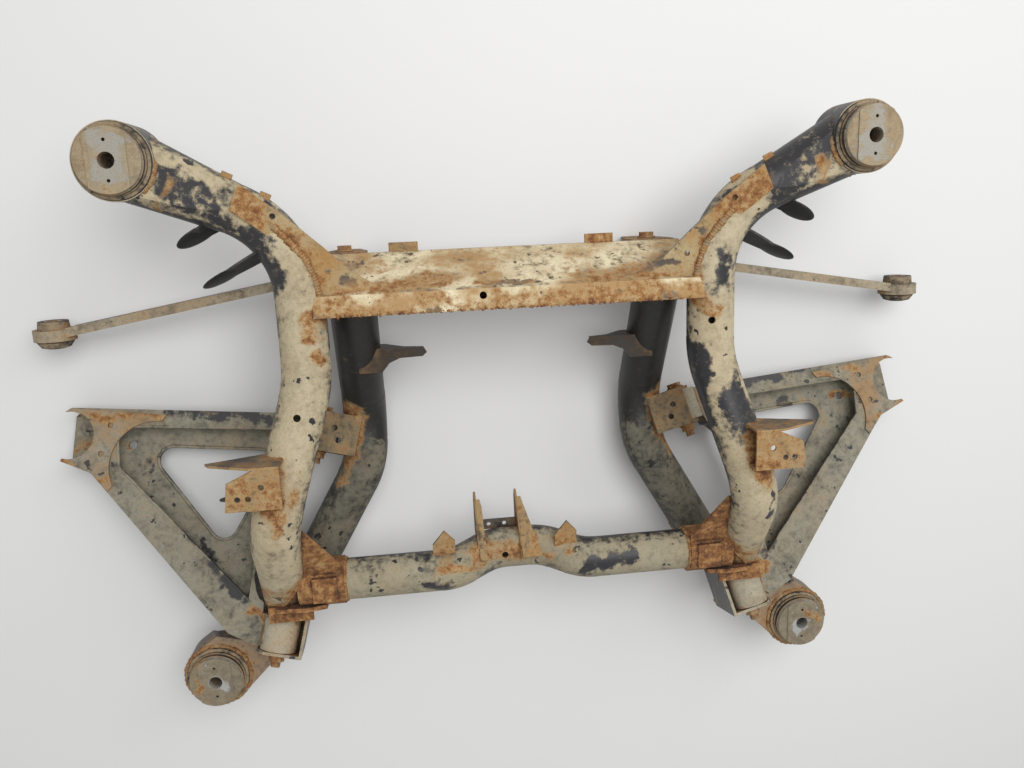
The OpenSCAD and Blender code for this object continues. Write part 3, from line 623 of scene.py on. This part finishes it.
def frame_welds(side, label):
    """All beads on one side of the frame: 1 is the right side, -1 the left."""

    def at(x, y, z):
        return mm(side * x, y, z)

    def node(name):
        return f"{label}_{name}"

    weld_seams(f"{label}_gusset_weld", "frame", [
        (node("main_tube"), node("gusset"),
         [at(238, 172, 224), at(240, 205, 227), at(247, 230, 229), at(260, 258, 234),
          at(282, 285, 238), at(304, 304, 241)], False),
    ], HEAVY_BEAD)
    horn = horn_way(side)
    mount = at(*HORN_MOUNT)
    weld_seams(f"{label}_welds", "frame", [
        (node("main_tube"), node("front_sleeve"),
         ring(mount - horn * 46 * MM, horn, 35 * MM), True),
        (node("gusset"), "front_crossmember",
         [at(228, 191, 214), at(210, 193, 211), at(190, 194, 208), at(172, 195, 205),
          at(160, 196, 203)], False),
        (node("main_tube"), "front_crossmember",
         [at(231, 165, 226), at(229, 176, 216), at(228, 188, 204), at(227, 198, 190),
          at(228, 212, 165), at(230, 226, 138)], False),
        (node("node_shell"), "rear_crossmember",
         ring(at(236, -198, 166), (1, 0, 0), 27.5 * MM), True),
        (node("main_tube"), node("node_shell"),
         ring(at(318, -215, 150), (0, 1, -0.7), 34 * MM), True),
        (node("arch_tube"), node("node_shell"),
         ring(at(292, -221, 61), (0, 1, 0), 34 * MM), True),
        (node("mount_arm"), node("rear_sleeve"),
         ring(at(430, -350, 114), (0, 0, 1), 44 * MM), True),
        (node("side_bracket"), node("main_tube"),
         [at(292, -2, 258), at(300, -2, 257), at(312, -1, 252), at(322, -1, 245),
          at(330, -1, 236)], False),
        (node("side_bracket"), node("main_tube"),
         [at(296, -50, 262), at(306, -50, 262), at(318, -50, 259), at(328, -50, 252),
          at(334, -50, 242)], False),
        (node("arm_front_bracket"), node("arch_tube"),
         [at(208, 10, 84), at(210, 0, 84), at(212, -15, 84), at(214, -30, 85),
          at(216, -42, 86)], False),
        (node("arm_rear_bracket"), node("node_shell"),
         [at(296, -229, 178), at(296, -229, 160), at(295, -229, 140), at(294, -229, 120)], False),
        (node("mount_arm"), node("arm_rear_bracket"),
         [at(305, -284, 114), at(320, -280, 114), at(335, -277, 114), at(350, -273, 114)], False),
    ])


for side, label in SIDES.items():
    frame_welds(side, label)

# %% [markdown]
# ## The arms' own frame
# The arms are skewed in space, so their details are placed in the hinge's frame: outward, forward
# along the hinge, and across both. The two eyes give the hinge line and the droop turns the rest.
# Working in these three directions is easier than guessing points in space.

# %% Arm frame
FRONT_EYE = (262, -16, 70)
REAR_EYE = (329, -272, 158)
DROOP = math.radians(7)
HINGE = mm(*FRONT_EYE) - mm(*REAR_EYE)
HINGE_MM = HINGE.length / MM


def hinge_point(side, out, ahead, across, droop=0.0):
    """A point of the hinge frame of one arm, in the frame of the model."""
    forward = HINGE.normalized()
    outward = Vector((forward.y, -forward.x, 0)).normalized()
    upward = outward.cross(forward)
    turned = outward * math.cos(droop) - upward * math.sin(droop)
    lifted = outward * math.sin(droop) + upward * math.cos(droop)
    point = mm(*FRONT_EYE) + (turned * out + forward * ahead + lifted * across) * MM
    return Vector((side * point.x, point.y, point.z))


print("hinge length in mm:", round(HINGE_MM, 1))

# %% [markdown]
# ## Arm details
# The arm is pressed from sheet. Its big hole and the mouth of its channel have rolled edges. A
# curve with a round bevel draws each as a thin tube, so no list of corners has to be worked out.
# The bush sleeves are welded to the sheet along their length.

# %% Rolled edge and sleeve welds
HOLE_CORNERS = [(84, -58), (114, -152), (204, -74)]
HOLE_RADIUS = 20
EDGE_RADIUS = 2.4
WEB_ACROSS = -33.5
LIP_ACROSS = -1.6
EDGE_PITCH = 3 * MM
SLEEVE_BEAD = 3.2 * MM
SLEEVE_OUT = 26
SLEEVE_LEVELS = (0, -22)
SLEEVE_HALF = 20
SLEEVE_STEP = 5
MOUTH = [(40, -2.5), (280, -40), (274, -60), (264, -96), (50, 33 - HINGE_MM), (58, -HINGE_MM / 2)]


def hole_path(step=12):
    """Points round the arm's hole: an arc about each corner, in the arm's plane."""
    path = []
    for i, (x, y) in enumerate(HOLE_CORNERS):
        px, py = HOLE_CORNERS[i - 1]
        nx, ny = HOLE_CORNERS[(i + 1) % len(HOLE_CORNERS)]
        first = math.atan2(px - x, y - py)
        last = math.atan2(x - nx, ny - y)
        if last < first:
            last += 2 * math.pi
        for k in range(step + 1):
            a = first + (last - first) * k / step
            path.append((x + HOLE_RADIUS * math.cos(a), y + HOLE_RADIUS * math.sin(a)))
    return path


def rolled_edge(bm, path, radius):
    """A thin tube round a closed path: a bevelled curve, turned into a mesh."""
    curve = bpy.data.curves.new("edge_path", "CURVE")
    curve.dimensions = "3D"
    curve.bevel_depth = radius
    curve.bevel_resolution = 2
    line = curve.splines.new("POLY")
    line.points.add(len(path) - 1)
    for dot, place in zip(line.points, path):
        dot.co = (*place, 1.0)
    line.use_cyclic_u = True
    holder = bpy.data.objects.new("edge_path", curve)
    tube = bpy.data.meshes.new_from_object(holder)
    bm.from_mesh(tube)
    bpy.data.meshes.remove(tube)
    bpy.data.objects.remove(holder)
    bpy.data.curves.remove(curve)


for side, label in SIDES.items():
    bm = bmesh.new()
    edge = [hinge_point(side, x, y, WEB_ACROSS, DROOP) for x, y in hole_path()]
    rolled_edge(bm, edge, EDGE_RADIUS * MM)
    mouth = [hinge_point(side, x, y, LIP_ACROSS, DROOP) for x, y in MOUTH]
    rolled_edge(bm, spaced(mouth, EDGE_PITCH, True), EDGE_RADIUS * MM)
    bmesh.ops.recalc_face_normals(bm, faces=bm.faces[:])
    rolled = finish_piece(f"{label}_arm_rolled_edge", bm, f"{label}_arm", "arm_finish")
    seams = []
    for eye in (0, -HINGE_MM):
        for across in SLEEVE_LEVELS:
            steps = range(-SLEEVE_HALF, SLEEVE_HALF + 1, SLEEVE_STEP)
            seeds = [hinge_point(side, SLEEVE_OUT, eye + v, across, DROOP) for v in steps]
            seams.append((f"{label}_arm", f"{label}_arm_sleeves", seeds, False))
    weld_seams(f"{label}_arm_welds", f"{label}_arm", seams, SLEEVE_BEAD)
    print(rolled.name, "faces:", len(rolled.data.polygons))

# %% [markdown]
# ## Bolt details
# Pivot bolts have a pressed flange under the head and the nut, and a few threads stand out behind
# the nut. Short cylinders are enough for both.

# %% Flanges and threads
EAR_OUT = 27.5
LINK_EAR_OUT = 25.0
LINK_PIVOT = (209, 208, 75)
NUT = 10.0
FLANGE_RADIUS = 12.5
FLANGE_HEIGHT = 2.4
DISC_TAPER = 0.5
THREADS = 4
THREAD_PITCH = 1.75
THREAD_RADIUS = 6.5
THREAD_HEIGHT = 1.1


def disc(bm, centre, axis, radius, height):
    turn = axis.to_track_quat("Z", "Y").to_matrix().to_4x4()
    place = Matrix.Translation(centre) @ turn
    bmesh.ops.create_cone(
        bm, cap_ends=True, segments=32, radius1=radius * MM, radius2=(radius - DISC_TAPER) * MM,
        depth=height * MM, matrix=place,
    )


bm = bmesh.new()
for side in SIDES:
    axis = hinge_point(side, 0, 1, 0) - hinge_point(side, 0, 0, 0)
    ends = [(hinge_point(side, 0, eye, 0), axis.normalized(), EAR_OUT) for eye in (0, -HINGE_MM)]
    ends.append((mm(side * LINK_PIVOT[0], *LINK_PIVOT[1:]), Vector((0, 1, 0)), LINK_EAR_OUT))
    for centre, axis, out in ends:
        out += FLANGE_HEIGHT / 2
        disc(bm, centre + axis * out * MM, axis, FLANGE_RADIUS, FLANGE_HEIGHT)
        disc(bm, centre - axis * out * MM, -axis, FLANGE_RADIUS, FLANGE_HEIGHT)
        for k in range(THREADS):
            reach = out + NUT + k * THREAD_PITCH
            disc(bm, centre - axis * reach * MM, -axis, THREAD_RADIUS, THREAD_HEIGHT)
flanges = finish_piece("bolt_flanges", bm, "frame", "bolt_finish")
print(flanges.name, "faces:", len(flanges.data.polygons))

# %% [markdown]
# ## Leaf ends
# Two leaves of sheet stand under each horn, and their outer ends are broad and blunt. A sphere
# pressed flat in the plane of the CAD leaf rounds each end over, which is simpler than bending a
# second outline.

# %% Leaf ends
HORN_LEAVES = [((331, 285, 209), -29, 62, 42), ((295, 240, 205), -27, 70, 56)]
LEAF_RISE = 8
LEAF_END = (28, 16, 2.3)


def spin(degrees, axis):
    return Matrix.Rotation(math.radians(degrees), 4, axis)


bm = bmesh.new()
for side in SIDES:
    mirror = Matrix.Diagonal((side, 1.0, 1.0, 1.0))
    for root, plan, tilt, reach in HORN_LEAVES:
        turn = spin(plan, "Z") @ spin(LEAF_RISE, "Y") @ spin(tilt, "X")
        place = mirror @ Matrix.Translation(mm(*root)) @ turn @ Matrix.Translation(mm(reach, 0, 0))
        shape = Matrix.Diagonal((*mm(*LEAF_END), 1.0))
        bmesh.ops.create_uvsphere(
            bm, u_segments=32, v_segments=16, radius=1.0, matrix=place @ shape
        )
bmesh.ops.recalc_face_normals(bm, faces=bm.faces[:])
leaf_ends = finish_piece("leaf_ends", bm, "frame", "black_finish")
print(leaf_ends.name, "faces:", len(leaf_ends.data.polygons))

# %% [markdown]
# ## Crusty lip and horn clips
# The crossmember's lip has swollen with rust, so flakes stand along its edge. Two small clips of
# bent sheet sit on the front edge of each horn. Both are rows of simple shapes, turned by a fixed
# pattern so that every run gives the same result.

# %% Flakes and clips
LIP_Y = 163
LIP_Z = 229
LIP_HALF = 224
FLAKE_STEP = 3
bm = bmesh.new()
for i, x in enumerate(range(-LIP_HALF, LIP_HALF + 1, FLAKE_STEP)):
    size = 1.7 + 0.8 * math.sin(i * 1.9) * math.sin(i * 0.37)
    turn = Matrix.Rotation(i * 2.4, 4, "X") @ Matrix.Rotation(i * 1.1, 4, "Z")
    shape = Matrix.Diagonal((size * 1.6 * MM, size * 0.8 * MM, size * MM, 1.0))
    spot = mm(x, LIP_Y + 1.0 + 0.5 * math.sin(i * 2.9), LIP_Z + 0.5 * math.cos(i * 1.3))
    drop(bm, Matrix.Translation(spot) @ turn @ shape)
crust = finish_piece("lip_crust", bm, "frame", "node_finish")

CLIP_SIZE = (13, 2, 12)
CLIP_BASE = (440, 350, 218)
CLIP_SPOTS = ((112, 36), (160, 33))
CLIP_BEVEL = 0.6 * MM
bm = bmesh.new()
for side, label in SIDES.items():
    along = -horn_way(side)
    front = mm(-side * HORN[1], HORN[0], 0).normalized()
    for reach, width in CLIP_SPOTS:
        base = mm(side * CLIP_BASE[0], *CLIP_BASE[1:]) + along * reach * MM
        tube = surface(f"{label}_main_tube")
        spot = tube.find_nearest(base + front * width * MM)[0]
        turn = Matrix((along, along.cross(front), front)).transposed().to_4x4()
        shape = Matrix.Diagonal((*mm(*CLIP_SIZE), 1.0))
        made = bmesh.ops.create_cube(bm, size=1.0, matrix=Matrix.Translation(spot) @ turn @ shape)
        edges = list({edge for vert in made["verts"] for edge in vert.link_edges})
        bmesh.ops.bevel(
            bm, geom=edges, offset=CLIP_BEVEL, segments=2, profile=0.5, affect="EDGES", material=-1
        )
clips = finish_piece("horn_clips", bm, "frame", "rust_finish")
print(crust.name, len(crust.data.polygons), clips.name, len(clips.data.polygons))

# %% [markdown]
# ## Floor, light and backdrop
# A pale matt floor shows the shadow and nothing else. A wide lamp above the frame and a little to
# its front, a weaker one from the front right and an even sky give the flat light of a workshop
# wall, bright enough that a colour renders about as written. The sky is paler to the eye and in
# reflections than it is as a light, so that the backdrop is as pale as the floor without more
# light on the frame.

# %% Stage
FLOOR_HALF = 6.0
FLOOR_TONE = (0.80, 0.80, 0.79, 1.0)
FLOOR_ROUGHNESS = 0.9
SKY_LIGHT = 0.42
SKY_SEEN = 0.80
WHITE = (1.0, 1.0, 1.0, 1.0)
bm = bmesh.new()
bmesh.ops.create_grid(bm, x_segments=1, y_segments=1, size=FLOOR_HALF)
floor_mesh = bpy.data.meshes.new("floor")
bm.to_mesh(floor_mesh)
bm.free()
floor = bpy.data.objects.new("floor", floor_mesh)
bpy.context.scene.collection.objects.link(floor)
floor_paint = bpy.data.materials.new("floor_paint")
floor_paint.use_nodes = True
floor_shader = floor_paint.node_tree.nodes["Principled BSDF"]
floor_shader.inputs["Base Color"].default_value = FLOOR_TONE
floor_shader.inputs["Roughness"].default_value = FLOOR_ROUGHNESS
floor_mesh.materials.append(floor_paint)


def lamp(name, place, aim, size, power):
    data = bpy.data.lights.new(name, "AREA")
    data.shape = "DISK"
    data.size = size
    data.energy = power
    made = bpy.data.objects.new(name, data)
    bpy.context.scene.collection.objects.link(made)
    made.location = place
    made.rotation_euler = (Vector(aim) - Vector(place)).to_track_quat("-Z", "Y").to_euler()


lamp("overhead_lamp", place=(0.3, 0.85, 2.45), aim=(0, 0, 0), size=1.8, power=41)
lamp("side_lamp", place=(1.8, 1.6, 1.9), aim=(0, 0, 0.1), size=1.6, power=14)
world = bpy.data.worlds.new("studio")
bpy.context.scene.world = world
world.use_nodes = True
world.node_tree.nodes.clear()
sky = Wire(world.node_tree)
seen = sky.node("LightPath", out="Is Camera Ray")
seen = seen.over(sky.node("LightPath", out="Is Glossy Ray"))
seen = seen.over(sky.node("LightPath", out="Is Transmission Ray"))
strength = seen * (SKY_SEEN - SKY_LIGHT) + SKY_LIGHT
glow = sky.node("Background", {}, {"Strength": strength, "Color": WHITE})
sky.node("OutputWorld", {}, {"Surface": glow})
bpy.context.scene.view_settings.view_transform = "Standard"
print("stage ready")
